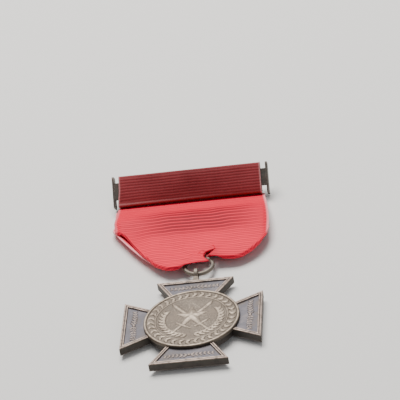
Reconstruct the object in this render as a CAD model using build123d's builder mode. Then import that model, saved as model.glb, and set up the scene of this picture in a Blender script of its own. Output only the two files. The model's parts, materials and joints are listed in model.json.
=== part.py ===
"""Military service medal: a bronze cross that hangs from a folded ribbon on a wrap brooch.

The medal lies on its back. X runs across it, +Y runs from the cross up to the brooch, +Z is up.
The origin is on the surface that it lies on, under the middle of the cross. Sizes are in mm.
"""

import os
from math import asin, atan2, cos, degrees, hypot, radians, sin

from build123d import *

# Cross: four flared arms with raised borders, and a disc on each face.
cross_half = 16.0  # middle of the cross to the end of an arm
arm_slope = 0.56  # half the width of an arm, per mm from the middle
field_thickness = 1.6  # arm between its front and back fields
border_width = 0.95
border_height = 0.4
border_bevel = 0.15
reverse_radius = 9.5
reverse_thickness = 0.45
obverse_radius = 11.0
obverse_thickness = 0.6
hub_setback = 0.4  # the cross's own hub is this much smaller than the disc on it
disc_rim_width = 0.6
disc_relief = 0.3
inner_circle_radius = 8.2
inner_circle_width = 0.3
pellet_count = 32
pellet_radius = 0.42
star_points = 5
star_radius = 4.6
star_waist = 1.9

# Loop on the top arm, and the wire ring through it.
ring_wire = 0.5  # radius of the wire
ring_radius = 3.3  # middle of the ring to the middle of its wire
ring_gap = 0.15  # the cut where the ring was closed
ring_gap_angle = 215.0
ring_offset = 0.4  # the ring lies this far to the right of the loop
eyelet_play = 0.3  # round the wire, inside the loop
eyelet_wall = 0.65
eyelet_width = 0.9
eyelet_neck = 2.15
eyelet_foot = 1.5
eyelet_edge = 0.15
floor_lift = 0.05  # the loop clears the surface by this
wire_seat = 0.08  # the wire's middle is this far past the loop's middle

# Ribbon.
ribbon_width = 35.0
ribbon_layer = 0.45
ribbon_drop = 25.9  # from the ring up to the line where the ribbon bends at the brooch
ribbon_lift = 0.1  # the rear layer clears the surface by this
fold_play = 0.45  # round the wire, inside the fold
fold_half_width = 1.4
notch_play = 0.45  # beside the ring's outside, where the ribbon is gathered
notch_rise = 0.8  # the gathered notch goes this far above the ring's wire
left_side = 13.8  # straight length of each side edge, from the brooch down
right_side = 15.6
right_flare = 1.9
left_lobe = (-6.4, -4.0)  # lowest point of each lobe, from the top of the ring
right_lobe = (8.2, -2.0)
lobe_half_width = 2.2
rear_peek = 0.9  # the rear layer shows this much past the folded left corner
crown = 1.5  # how far the front layer bows up
lobe_droop = 0.5

# Brooch: a core bar under the ribbon, end plates, and a rear bar that carries the pin.
wrap_layer = 0.35
wrap_play = 0.05
wrap_corner = 0.5
core_height = 6.8
core_thickness = 0.7
core_front = 0.25
core_setback = 0.2  # the core's ends stop this far inside the ribbon's edges
tongue_height = 4.0
end_gap = 1.25  # between the ribbon's edge and the end plate
end_plate_thickness = 0.45
end_plate_height = 7.8
end_plate_front = 0.45
end_plate_corner = 0.6
rear_bar_height = 3.6
rear_bar_thickness = 0.7
rear_bar_gap = 1.25  # behind the core, where the ribbon is sewn
brooch_offset = -2.8  # the brooch lies this far to the left of the cross
tail_height = 2.6
tail_thickness = 0.55
tail_setback = 0.3
stitch_count = 9
stitch_length = 1.8
stitch_thickness = 0.22
bend_below = 0.7  # the ribbon bends this far below the wrap
bend_back = 0.2

# Pin, its hinge and its catch, all on one line behind the brooch.
mechanism_radius = 1.7  # outside of the hinge ears and of the catch
mechanism_height = 4.1  # above the lower edge of the end plates
pin_depth = 4.3  # from the front plane back to the pin's axis
pin_radius = 0.4
hinge_inset = 4.7  # outside of the left end plate to the hinge axis
catch_inset = 6.7  # outside of the right end plate to the middle of the catch
pin_neck = 2.1  # from the hinge axis to where the round shank begins
pin_neck_width = 1.1
pin_taper_start = 0.6  # the round shank ends this far before the catch
pin_tip_radius = 0.05
pin_tip_past_catch = 2.6
pin_eye_radius = 1.15
pin_eye_thickness = 0.9
rivet_radius = 0.5
rivet_play = 0.05
rivet_head_radius = 0.85
rivet_head_thickness = 0.3
ear_thickness = 0.6
ear_play = 0.1
foot_thickness = 0.45
foot_margin = 0.4
catch_length = 2.6
catch_wall = 0.4
catch_opening = 66.0  # half the angle that the catch is open through
roller_play = 0.05
roller_bore_play = 0.22
roller_slot_play = 0.15
roller_tab_angle = 50.0
roller_tab_reach = 2.5
roller_tab_thickness = 0.5
roller_tab_length = 2.0
roller_turn = 2 * roller_tab_angle

# Heights and places that follow from those.
cross_bottom = reverse_thickness
field_top = cross_bottom + field_thickness
border_top = field_top + border_height
obverse_top = field_top + obverse_thickness
eyelet_hole = ring_wire + eyelet_play
eyelet_radius = eyelet_hole + eyelet_wall
ring_height = eyelet_radius + floor_lift
eyelet_middle = cross_half + eyelet_neck + eyelet_radius
wire_y = eyelet_middle + wire_seat
ring_y = wire_y + ring_radius
fold_y = ring_y + ring_radius
fold_inner = ring_wire + fold_play
fold_outer = fold_inner + ribbon_layer
front_low = ring_height + fold_inner
rear_low = ribbon_lift
rear_high = ring_height - fold_inner
bend_y = fold_y + ribbon_drop
end_plate_back = core_thickness - core_front + rear_bar_gap + rear_bar_thickness
rear_bar_front = end_plate_back - rear_bar_thickness
end_plate_half = ribbon_width / 2 + end_gap + end_plate_thickness
core_low = (end_plate_height - core_height) / 2
wrap_low = core_low - wrap_play - wrap_layer
wrap_front = core_front + wrap_play + wrap_layer
wrap_back = core_thickness - core_front + wrap_play + wrap_layer

# The brooch rests on the lower rear corners of its end plates and on its hinge and catch.
reach = hypot(mechanism_height, pin_depth - end_plate_back)
tilt = degrees(asin(mechanism_radius / reach) + atan2(pin_depth - end_plate_back, mechanism_height))
tilt_cos = cos(radians(tilt))
tilt_sin = sin(radians(tilt))
bend_up = wrap_low - bend_below
bend_out = -bend_back
brooch_z = end_plate_back * tilt_cos
brooch_y = bend_y - bend_up * tilt_cos + bend_out * tilt_sin
bend_z = brooch_z + bend_up * tilt_sin + bend_out * tilt_cos
brooch = Plane(origin=(brooch_offset, brooch_y, brooch_z), x_dir=(1, 0, 0), z_dir=(0, -tilt_sin, tilt_cos))
up_brooch = (0, tilt_cos, tilt_sin)
down_brooch = (0, -tilt_cos, -tilt_sin)
hinge_x = hinge_inset - end_plate_half
catch_x = end_plate_half - catch_inset


def side_plane(x):
    """A plane across the brooch at x, whose axes are up the brooch and out of its front."""
    return Plane(origin=brooch.from_local_coords((x, 0, 0)), x_dir=up_brooch, z_dir=(1, 0, 0))


def level_plane(height):
    """A plane through the brooch at a height, whose axes are along it and out of its front."""
    return Plane(origin=brooch.from_local_coords((0, height, 0)), x_dir=(1, 0, 0), z_dir=down_brooch)


def write(piece, name):
    """Labels one finished piece and writes it as a STEP file."""
    piece.part.label = name
    export_step(piece.part, f"parts/{name}.step")


os.makedirs("parts", exist_ok=True)


# --- Cross ---------------------------------------------------------------------------------

arm = [(0, 0), (-arm_slope * cross_half, cross_half), (arm_slope * cross_half, cross_half)]
with BuildSketch() as cross_outline:
    with PolarLocations(0, 4):
        Polygon(*arm, align=None)
    Circle(obverse_radius - hub_setback)

with BuildPart() as cross:
    with BuildSketch(Plane.XY.offset(cross_bottom)):
        add(cross_outline.sketch)
    extrude(amount=field_thickness)
    with BuildSketch(Plane.XY.offset(field_top)):
        add(cross_outline.sketch)
        offset(amount=-border_width, kind=Kind.INTERSECTION, mode=Mode.SUBTRACT)
        Circle(obverse_radius, mode=Mode.SUBTRACT)
    extrude(amount=border_height)
    arm_ends = cross.edges().filter_by(Plane.XY).group_by(Axis.Z)[-1]
    chamfer(arm_ends.filter_by(lambda e: e.center().length > cross_half - 0.1), border_bevel)
write(cross, "cross")

with BuildPart() as reverse_disc:
    with BuildSketch(Plane.XY):
        Circle(reverse_radius)
    extrude(amount=reverse_thickness)
write(reverse_disc, "reverse_disc")


# --- Disc on the front: rim, circle of pellets, inner circle and a star -------------------------

with BuildSketch() as star:
    tips = []
    for corner in range(2 * star_points):
        angle = radians(90 + corner * 180 / star_points)
        radius = star_waist if corner % 2 else star_radius
        tips.append((radius * cos(angle), radius * sin(angle)))
    Polygon(*tips, align=None)

with BuildPart() as obverse_disc:
    with BuildSketch(Plane.XY.offset(field_top)):
        Circle(obverse_radius)
    extrude(amount=obverse_thickness)
    with BuildSketch(Plane.XY.offset(obverse_top)):
        Circle(obverse_radius)
        Circle(obverse_radius - disc_rim_width, mode=Mode.SUBTRACT)
        Circle(inner_circle_radius + inner_circle_width)
        Circle(inner_circle_radius, mode=Mode.SUBTRACT)
        pellet_circle = (obverse_radius - disc_rim_width + inner_circle_radius + inner_circle_width) / 2
        with PolarLocations(pellet_circle, pellet_count):
            Circle(pellet_radius)
        add(star.sketch)
    extrude(amount=disc_relief)
write(obverse_disc, "obverse_disc")


# --- Loop on the top arm, and the ring ----------------------------------------------------------

with BuildPart() as eyelet:
    with BuildSketch(Plane(origin=(0, eyelet_middle, ring_height), x_dir=(0, 1, 0), z_dir=(1, 0, 0))):
        Circle(eyelet_radius)
    extrude(amount=eyelet_width / 2, both=True)
    fillet(eyelet.edges().filter_by(GeomType.CIRCLE), eyelet_edge)
    with BuildSketch(Plane(origin=(0, cross_half, ring_height), x_dir=(1, 0, 0), z_dir=(0, 1, 0))):
        Rectangle(eyelet_foot, eyelet_foot)
    with BuildSketch(Plane(origin=(0, eyelet_middle - eyelet_hole, ring_height), x_dir=(1, 0, 0), z_dir=(0, 1, 0))):
        Rectangle(eyelet_width - 2 * eyelet_edge, eyelet_width)
    loft()
    with BuildSketch(Plane(origin=(0, eyelet_middle, ring_height), x_dir=(0, 1, 0), z_dir=(1, 0, 0))):
        Circle(eyelet_hole)
    extrude(amount=eyelet_foot, both=True, mode=Mode.SUBTRACT)
write(eyelet, "suspension_eyelet")

gap = degrees(ring_gap / ring_radius)
out = (cos(radians(ring_gap_angle)), sin(radians(ring_gap_angle)), 0)
ring_middle = (ring_offset, ring_y, ring_height)
with BuildPart() as ring:
    with BuildSketch(Plane(origin=ring_middle, x_dir=out, z_dir=(out[1], -out[0], 0))):
        with Locations((ring_radius, 0)):
            Circle(ring_wire)
    revolve(axis=Axis(ring_middle, (0, 0, 1)), revolution_arc=360 - gap)
write(ring, "jump_ring")


# --- Hanging ribbon: front layer, rear layer, and the fold through the ring ---------------------

ribbon_side = Plane(origin=(0, 0, 0), x_dir=(0, 1, 0), z_dir=(1, 0, 0))
ribbon_left = brooch_offset - ribbon_width / 2
ribbon_right = brooch_offset + ribbon_width / 2
fold_join = fold_y + notch_rise
notch_half = ring_radius + ring_wire + notch_play
lobe_left = (ring_offset + left_lobe[0], fold_y + left_lobe[1])
lobe_right = (ring_offset + right_lobe[0], fold_y + right_lobe[1])
ribbon_end = lobe_left[1]


def ribbon_shape(peek):
    """The outline of a layer from above, with its left corner cut square to the fold by peek."""
    with BuildSketch() as shape:
        with BuildLine():
            Polyline(
                (ribbon_left, bend_y),
                (ribbon_left, bend_y - left_side),
                (lobe_left[0] - lobe_half_width - peek, lobe_left[1] + peek),
                (lobe_left[0] - peek, lobe_left[1]),
                (lobe_left[0] + lobe_half_width, lobe_left[1] + peek),
                (ring_offset, fold_join),
                (lobe_right[0] - lobe_half_width, lobe_right[1] + 1.0),
                lobe_right,
                (lobe_right[0] + 2 * lobe_half_width, lobe_right[1] + 2.2),
                (ribbon_right + right_flare, bend_y - right_side - 4.0),
                (ribbon_right + right_flare, bend_y - right_side),
                (ribbon_right, bend_y),
                close=True,
            )
        make_face()
        with Locations((ring_offset, fold_join)):
            Rectangle(2 * notch_half, 4 * ring_radius, align=(Align.CENTER, Align.MAX), mode=Mode.SUBTRACT)
    return shape.sketch


bowed = [
    (bend_y, bend_z - ribbon_layer / 2),
    (bend_y - 3.0, bend_z + 0.25 * crown),
    (bend_y - 7.5, bend_z + 0.95 * crown),
    (bend_y - 12.0, bend_z + 1.1 * crown),
    (fold_y + 4.0, front_low + 0.05),
    (fold_join, front_low),
    (ribbon_end - 1.0, front_low - lobe_droop),
]
with BuildPart() as front_layer:
    with BuildSketch(ribbon_side):
        with BuildLine():
            lower = Spline(*bowed)
            upper = Spline(*[(y, z + ribbon_layer) for y, z in bowed])
            Line(lower @ 0, upper @ 0)
            Line(lower @ 1, upper @ 1)
        make_face()
    extrude(amount=2 * ribbon_width, both=True)
    with BuildSketch(Plane.XY):
        add(ribbon_shape(0))
    extrude(amount=4 * front_low, mode=Mode.INTERSECT)
write(front_layer, "ribbon_front")

rear_start = bend_y - 1.2
with BuildPart() as rear_layer:
    with BuildSketch(Plane.XY.offset(rear_low)):
        add(ribbon_shape(rear_peek))
    extrude(amount=rear_high - rear_low)
    split(bisect_by=Plane(origin=(0, rear_start, 0), z_dir=(0, 1, 0)), keep=Keep.BOTTOM)
write(rear_layer, "ribbon_rear")

with BuildPart() as fold:
    with BuildSketch(Plane(origin=(ring_offset, 0, 0), x_dir=(0, 1, 0), z_dir=(1, 0, 0))):
        for size, how in ((fold_outer, Mode.ADD), (fold_inner, Mode.SUBTRACT)):
            with Locations((fold_y, ring_height)):
                Circle(size, mode=how)
                Rectangle(notch_rise, 2 * size, align=(Align.MIN, Align.CENTER), mode=how)
        with Locations((fold_join, ring_height)):
            Rectangle(2 * fold_outer, 2 * fold_outer, align=(Align.MIN, Align.CENTER), mode=Mode.SUBTRACT)
    extrude(amount=fold_half_width, both=True)
write(fold, "ribbon_fold")


# --- Brooch: core bar, end plates and rear bar --------------------------------------------------

core_half = ribbon_width / 2 - core_setback
end_inner = end_plate_half - end_plate_thickness
with BuildPart() as frame:
    with BuildSketch(brooch.offset(core_front - core_thickness)):
        with Locations((0, end_plate_height / 2)):
            Rectangle(2 * core_half, core_height)
        with Locations((0, mechanism_height)):
            Rectangle(2 * end_inner, tongue_height)
    extrude(amount=core_thickness)
    for x in (end_inner, -end_plate_half):
        with BuildSketch(side_plane(x)):
            with Locations((end_plate_height / 2, (end_plate_front - end_plate_back) / 2)):
                Rectangle(end_plate_height, end_plate_front + end_plate_back)
        extrude(amount=end_plate_thickness)
    plate_corners = frame.edges().filter_by(Axis.X).group_by(Edge.length)[0]
    top_corners = plate_corners.filter_by(lambda e: brooch.to_local_coords(e.center()).Y > end_plate_height - 0.1)
    fillet(top_corners, end_plate_corner)
write(frame, "brooch_frame")

with BuildPart() as rear_bar:
    with BuildSketch(brooch.offset(-end_plate_back)):
        with Locations((0, mechanism_height)):
            Rectangle(2 * end_inner, rear_bar_height)
    extrude(amount=rear_bar_thickness)
write(rear_bar, "rear_bar")


# --- Ribbon on the brooch: the wrap round the core, the sewn tail and its stitches --------------

wrap_middle = (end_plate_height / 2, (wrap_front - wrap_back) / 2)
wrap_size = (core_height + 2 * (wrap_play + wrap_layer), wrap_front + wrap_back)
with BuildPart() as wrap:
    with BuildSketch(side_plane(-ribbon_width / 2)):
        with Locations(wrap_middle):
            RectangleRounded(*wrap_size, wrap_corner)
            Rectangle(wrap_size[0] - 2 * wrap_layer, wrap_size[1] - 2 * wrap_layer, mode=Mode.SUBTRACT)
    extrude(amount=ribbon_width)
write(wrap, "ribbon_wrap")

tail_low = wrap_low + wrap_corner
with BuildPart() as tail:
    with BuildSketch(brooch.offset(-wrap_back - tail_thickness)):
        with Locations((0, tail_low)):
            Rectangle(ribbon_width - 2 * tail_setback, tail_height, align=(Align.CENTER, Align.MIN))
    extrude(amount=tail_thickness)
write(tail, "ribbon_tail")

stitch_pitch = (ribbon_width - 4 * stitch_length) / (stitch_count - 1)
with BuildPart() as stitches:
    with BuildSketch(brooch.offset(-wrap_back - tail_thickness - stitch_thickness)):
        with Locations((0, tail_low + stitch_length / 2)):
            with GridLocations(stitch_pitch, 1, stitch_count, 1):
                SlotOverall(stitch_length, 2 * stitch_thickness)
    extrude(amount=stitch_thickness)
write(stitches, "wrap_stitches")


# --- Hinge: bracket and rivet ------------------------------------------------------------------

ear_inner = pin_eye_thickness / 2 + ear_play
ear_outer = ear_inner + ear_thickness
foot_top = -end_plate_back - foot_thickness
with BuildPart() as bracket:
    with BuildSketch(brooch.offset(foot_top)):
        with Locations((hinge_x, mechanism_height)):
            Rectangle(2 * (mechanism_radius + foot_margin), 2 * ear_outer)
    extrude(amount=foot_thickness)
    with BuildSketch(level_plane(mechanism_height)):
        with Locations((hinge_x, -pin_depth)):
            Circle(mechanism_radius)
            Rectangle(2 * mechanism_radius, pin_depth + foot_top, align=(Align.CENTER, Align.MIN))
    extrude(amount=ear_outer, both=True)
    with BuildSketch(level_plane(mechanism_height)):
        with Locations((hinge_x, -pin_depth)):
            Rectangle(4 * mechanism_radius, pin_depth + foot_top, align=(Align.CENTER, Align.MIN))
            Rectangle(4 * mechanism_radius, 2 * mechanism_radius, align=(Align.CENTER, Align.MAX))
    extrude(amount=ear_inner, both=True, mode=Mode.SUBTRACT)
    with BuildSketch(level_plane(mechanism_height)):
        with Locations((hinge_x, -pin_depth)):
            Circle(rivet_radius)
    extrude(amount=2 * ear_outer, both=True, mode=Mode.SUBTRACT)
write(bracket, "hinge_bracket")

with BuildPart() as rivet:
    with BuildSketch(level_plane(mechanism_height)):
        with Locations((hinge_x, -pin_depth)):
            Circle(rivet_radius)
    extrude(amount=ear_outer, both=True)
    for height, out_of_ear in ((ear_outer, -1), (-ear_outer, 1)):
        with BuildSketch(level_plane(mechanism_height + height)):
            with Locations((hinge_x, -pin_depth)):
                Circle(rivet_head_radius)
        extrude(amount=out_of_ear * rivet_head_thickness, taper=20)
write(rivet, "hinge_rivet")


# --- Pin: a flat eye and neck, a round shank and a long point ------------------------------------

catch_start = catch_x - catch_length / 2
shank_start = hinge_x + pin_neck
shank_end = catch_start - pin_taper_start
tip_end = catch_start + catch_length + pin_tip_past_catch
pin_line = [
    (hinge_x + pin_eye_radius, 0),
    (hinge_x + pin_eye_radius, pin_radius),
    (shank_end, pin_radius),
    (tip_end, pin_tip_radius),
    (tip_end, 0),
]
pin_axis_plane = Plane(origin=brooch.from_local_coords((0, mechanism_height, -pin_depth)), x_dir=(1, 0, 0), z_dir=down_brooch)
with BuildPart() as pin:
    with BuildSketch(pin_axis_plane):
        with BuildLine():
            Polyline(*pin_line, close=True)
        make_face()
    revolve(axis=Axis(pin_axis_plane.origin, (1, 0, 0)))
    with BuildSketch(level_plane(mechanism_height)):
        with Locations((hinge_x, -pin_depth)):
            Circle(pin_eye_radius)
            Rectangle(pin_neck, pin_neck_width, align=(Align.MIN, Align.CENTER))
    extrude(amount=pin_eye_thickness / 2, both=True)
    with BuildSketch(level_plane(mechanism_height)):
        with Locations((hinge_x, -pin_depth)):
            Circle(rivet_radius + rivet_play)
    extrude(amount=pin_eye_thickness, both=True, mode=Mode.SUBTRACT)
write(pin, "pin_stem")


# --- Catch: an open barrel on a foot, and the roller that turns in it to lock the pin -----------

catch_inner = mechanism_radius - catch_wall
opening = 2 * mechanism_radius
mouth_half = opening * sin(radians(catch_opening)) / cos(radians(catch_opening))
with BuildPart() as catch:
    with BuildSketch(side_plane(catch_start)):
        with Locations((mechanism_height, -pin_depth)):
            Circle(mechanism_radius)
            Circle(catch_inner, mode=Mode.SUBTRACT)
            Polygon((0, 0), (-mouth_half, -opening), (mouth_half, -opening), align=None, mode=Mode.SUBTRACT)
    extrude(amount=catch_length)
    foot_back = pin_depth - catch_inner - catch_wall / 2
    with BuildSketch(side_plane(catch_start - foot_margin)):
        with Locations((mechanism_height, -(end_plate_back + foot_back) / 2)):
            Rectangle(2 * catch_inner, foot_back - end_plate_back)
    extrude(amount=catch_length + 2 * foot_margin)
write(catch, "catch_barrel")

roller_radius = catch_inner - roller_play
roller_bore = pin_radius + roller_bore_play
slot_half = pin_radius + roller_slot_play
with BuildPart() as roller:
    with BuildSketch(side_plane(catch_start)):
        with Locations((mechanism_height, -pin_depth)):
            Circle(roller_radius)
        with Locations(Location((mechanism_height, -pin_depth), roller_tab_angle - 90)):
            with Locations(((roller_radius + roller_bore) / 2, 0)):
                tab = roller_tab_reach - (roller_radius + roller_bore) / 2
                Rectangle(tab, roller_tab_thickness, align=(Align.MIN, Align.CENTER))
        with Locations((mechanism_height, -pin_depth)):
            Circle(roller_bore, mode=Mode.SUBTRACT)
            Rectangle(2 * slot_half, 2 * roller_radius, align=(Align.CENTER, Align.MAX), mode=Mode.SUBTRACT)
    extrude(amount=catch_length)
    for end in (catch_start - 1, catch_start + catch_length + 1):
        trim = 1 + (catch_length - roller_tab_length) / 2
        with BuildSketch(side_plane(end)):
            with Locations((mechanism_height, -pin_depth)):
                Circle(2 * roller_tab_reach)
                Circle(roller_radius + roller_play / 2, mode=Mode.SUBTRACT)
        extrude(amount=trim if end < catch_start else -trim, mode=Mode.SUBTRACT)
write(roller, "catch_roller")


# --- Where the joints are, for whoever writes them down ------------------------------------------

shank_middle = brooch.from_local_coords(((shank_start + shank_end) / 2, mechanism_height, -pin_depth))
joint_places = {
    "ribbon_bend": (brooch_offset, bend_y, bend_z),
    "ring_swing": (ring_offset, fold_y, ring_height),
    "cross_swing": (0, wire_y, ring_height),
    "pin_hinge": tuple(brooch.from_local_coords((hinge_x, mechanism_height, -pin_depth))),
    "roller_turn": tuple(brooch.from_local_coords((catch_x, mechanism_height, -pin_depth))),
}
print("tilt of the brooch", round(tilt, 3))
print("length of the pin's shank", round(shank_end - shank_start, 3), "about", shank_middle)
for joint, place in joint_places.items():
    print(joint, [round(value, 4) for value in place])
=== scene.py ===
"""Looks of a military service medal: a bronze cross on a folded red ribbon, with a wrap brooch.

The sections follow the medal as it is put together: view and light, cross, loop and ring, brooch
metal, pin and catch, and then the ribbon. The medal's lengths are in millimetres until a mesh is
made. The camera, floor and lights are placed in metres.
"""

import json
import math
import random

import bmesh
import bpy
import numpy as np
from mathutils import Matrix, Vector


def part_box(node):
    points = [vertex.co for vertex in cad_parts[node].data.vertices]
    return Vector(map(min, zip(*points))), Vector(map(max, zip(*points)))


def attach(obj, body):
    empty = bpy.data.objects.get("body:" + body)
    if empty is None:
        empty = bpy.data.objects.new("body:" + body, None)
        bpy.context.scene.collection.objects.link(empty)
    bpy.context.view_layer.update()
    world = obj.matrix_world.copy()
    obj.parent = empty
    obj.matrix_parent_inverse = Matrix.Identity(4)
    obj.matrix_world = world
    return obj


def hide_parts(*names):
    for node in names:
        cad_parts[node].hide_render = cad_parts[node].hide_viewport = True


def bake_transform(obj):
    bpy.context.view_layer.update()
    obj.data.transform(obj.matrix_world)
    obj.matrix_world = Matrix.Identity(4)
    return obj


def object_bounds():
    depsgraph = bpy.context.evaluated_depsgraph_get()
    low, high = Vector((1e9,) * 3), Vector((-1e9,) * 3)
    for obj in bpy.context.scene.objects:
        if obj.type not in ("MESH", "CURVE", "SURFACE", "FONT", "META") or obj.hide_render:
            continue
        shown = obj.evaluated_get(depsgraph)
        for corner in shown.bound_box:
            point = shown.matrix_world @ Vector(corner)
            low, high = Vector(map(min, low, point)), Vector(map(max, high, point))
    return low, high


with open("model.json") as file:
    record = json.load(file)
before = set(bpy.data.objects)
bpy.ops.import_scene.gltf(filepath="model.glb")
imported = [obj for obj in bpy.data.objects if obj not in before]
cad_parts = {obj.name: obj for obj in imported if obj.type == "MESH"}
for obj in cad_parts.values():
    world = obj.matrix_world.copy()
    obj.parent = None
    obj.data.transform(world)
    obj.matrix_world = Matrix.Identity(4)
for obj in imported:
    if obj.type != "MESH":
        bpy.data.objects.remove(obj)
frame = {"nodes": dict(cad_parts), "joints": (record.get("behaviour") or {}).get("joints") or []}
cad_low, cad_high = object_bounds()
nodes = frame["nodes"]
MM = 0.001


# --- View -----------------------------------------------------
# A long lens looks down at the medal from its foot, a little from the right, and leans to one
# side. It aims at the lower edge of the brooch, so that the medal lies low in the picture.

brooch_low, brooch_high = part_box("brooch_frame")
aim = Vector(((brooch_low.x + brooch_high.x) / 2 + 1.8 * MM, brooch_low.y + 2.7 * MM, 0))
azimuth, elevation, lean = math.radians(7.9), math.radians(31.3), math.radians(-10.0)
camera_distance = 0.6

back = Vector((
    math.sin(azimuth) * math.cos(elevation),
    -math.cos(azimuth) * math.cos(elevation),
    math.sin(elevation),
))
level = Vector((math.cos(azimuth), math.sin(azimuth), 0))
upright = back.cross(level)
across_view = level * math.cos(lean) + upright * math.sin(lean)
up_view = upright * math.cos(lean) - level * math.sin(lean)

camera = bpy.data.objects.new("camera", bpy.data.cameras.new("camera"))
camera.data.lens = 220
camera.data.clip_start, camera.data.clip_end = 0.01, 10
camera.matrix_world = Matrix((across_view, up_view, back)).transposed().to_4x4()
camera.location = aim + back * camera_distance
bpy.context.scene.collection.objects.link(camera)
bpy.context.scene.camera = camera


# --- Floor and light ------------------------------------------
# A pale matt sweep to lie on. The main light is a wide soft panel overhead and behind, so that
# what lies flat is bright and the brooch, which leans forward, is darker. A weak panel fills it.

def put(tree, kind, sockets=None, **options):
    """Adds a shader node. A socket is given a value, or an output that it is linked to."""
    node = tree.nodes.new("ShaderNode" + kind)
    for name, value in options.items():
        setattr(node, name, value)
    for name, value in (sockets or {}).items():
        if isinstance(value, bpy.types.NodeSocket):
            tree.links.new(value, node.inputs[name])
        else:
            node.inputs[name].default_value = value
    return node


def new_material(name):
    """A material with its shader, as (material, its node tree, the shader)."""
    material = bpy.data.materials.new(name)
    material.use_nodes = True
    tree = material.node_tree
    return material, tree, tree.nodes["Principled BSDF"]


floor_half = 1.5
floor_mesh = bpy.data.meshes.new("floor")
floor_mesh.from_pydata(
    [(x * floor_half, y * floor_half, 0) for x, y in ((-1, -1), (1, -1), (1, 1), (-1, 1))],
    [],
    [(0, 1, 2, 3)],
)
floor = bpy.data.objects.new("floor", floor_mesh)
floor.location.z = cad_low.z - 0.02 * MM
bpy.context.scene.collection.objects.link(floor)
floor_paint, tree, shader = new_material("pale_floor")
shader.inputs["Base Color"].default_value = (0.74, 0.73, 0.71, 1)
shader.inputs["Roughness"].default_value = 0.9
floor_mesh.materials.append(floor_paint)

world = bpy.data.worlds.new("studio")
world.use_nodes = True
world.node_tree.nodes["Background"].inputs["Color"].default_value = (0.85, 0.87, 0.9, 1)
world.node_tree.nodes["Background"].inputs["Strength"].default_value = 0.35
bpy.context.scene.world = world


def soft_panel(name, place, size, power, colour):
    """A square panel of light that faces the middle of the medal."""
    panel = bpy.data.objects.new(name, bpy.data.lights.new(name, "AREA"))
    panel.data.shape = "SQUARE"
    panel.data.size = size
    panel.data.energy = power
    panel.data.color = colour
    panel.location = place
    panel.rotation_euler = (aim - Vector(place)).to_track_quat("-Z", "Y").to_euler()
    bpy.context.scene.collection.objects.link(panel)


soft_panel("overhead_panel", (-0.1, 0.42, 0.8), 0.6, 16, (1, 0.98, 0.95))
soft_panel("front_panel", (0.5, -0.8, 0.6), 0.7, 1.6, (0.93, 0.96, 1))


# --- Aged bronze ----------------------------------------------
# The cross, its discs, loop and ring are struck or drawn bronze, long gone brown. Handling keeps
# what stands proud paler and smoother, and a bluish grey bloom stays in what is sunk.

def new_group(name, inputs, outputs):
    """An empty node group, as (group, the sockets it is given, the sockets it makes)."""
    group = bpy.data.node_groups.new(name, "ShaderNodeTree")
    for side, sockets in (("INPUT", inputs), ("OUTPUT", outputs)):
        for socket, kind in sockets.items():
            group.interface.new_socket(socket, in_out=side, socket_type="NodeSocket" + kind)
    given = group.nodes.new("NodeGroupInput").outputs
    return group, given, group.nodes.new("NodeGroupOutput").inputs


def mixed(tree, share, first, second, how="MIX"):
    """The colour that is share of the way from the first to the second."""
    node = put(tree, "Mix", {0: share, 6: first, 7: second}, data_type="RGBA", blend_type=how)
    return node.outputs[2]


def maths(tree, how, first, second, third=None, clamp=False):
    """One sum on numbers."""
    sockets = {0: first, 1: second}
    if third is not None:
        sockets[2] = third
    return put(tree, "Math", sockets, operation=how, use_clamp=clamp).outputs[0]


def ramp(tree, value, low, high):
    """A number from 0 to 1 as value goes from low to high."""
    sockets = {"Value": value, "From Min": low, "From Max": high}
    return put(tree, "MapRange", sockets, interpolation_type="SMOOTHSTEP").outputs["Result"]


def noise(tree, coordinates, scale, detail=4.0, roughness=0.55):
    """Soft noise from 0 to 1."""
    sockets = {"Vector": coordinates, "Scale": scale, "Detail": detail, "Roughness": roughness}
    return put(tree, "TexNoise", sockets).outputs["Fac"]


metal, given, made = new_group(
    "aged_metal",
    {
        "Place": "Vector", "Rubbed": "Float", "Sunk": "Float", "Grime_and_Shade": "Float",
        "Patina": "Color", "Bare": "Color", "Bloom": "Color",
    },
    {"Color": "Color", "Roughness": "Float", "Height": "Float"},
)
cloud = noise(metal, given["Place"], 260, 5)
grain = noise(metal, given["Place"], 2600, 3)
spots = noise(metal, given["Place"], 900, 6, 0.7)
uneven = maths(metal, "MULTIPLY_ADD", cloud, 0.9, -0.45)
rubbed = maths(metal, "ADD", given["Rubbed"], uneven, clamp=True)
rubbed = maths(metal, "MULTIPLY", rubbed, ramp(metal, spots, 0.30, 0.55))
sunk = maths(metal, "MULTIPLY", given["Sunk"], ramp(metal, cloud, 0.2, 0.6))
tone = mixed(metal, sunk, given["Patina"], given["Bloom"])
tone = mixed(metal, ramp(metal, spots, 0.62, 0.8), tone, (0.09, 0.07, 0.055, 1))
tone = mixed(metal, rubbed, tone, given["Bare"])
# This mix toward near black is random grime on the plain finishes, and painted shade on the cross's side
# walls and hub wall.
grime_and_shade = maths(metal, "MULTIPLY_ADD", cloud, 0.5, -0.25)
grime_and_shade = maths(metal, "ADD", grime_and_shade, 0.95, clamp=True)
grime_and_shade = maths(metal, "MULTIPLY", given["Grime_and_Shade"], grime_and_shade)
tone = mixed(metal, grime_and_shade, tone, (0.035, 0.033, 0.028, 1))
metal.links.new(tone, made["Color"])
rough = maths(metal, "MULTIPLY_ADD", rubbed, -0.16, 0.52)
rough = maths(metal, "MULTIPLY_ADD", grain, 0.16, rough)
metal.links.new(rough, made["Roughness"])
metal.links.new(maths(metal, "MULTIPLY_ADD", spots, 0.5, grain), made["Height"])


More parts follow.
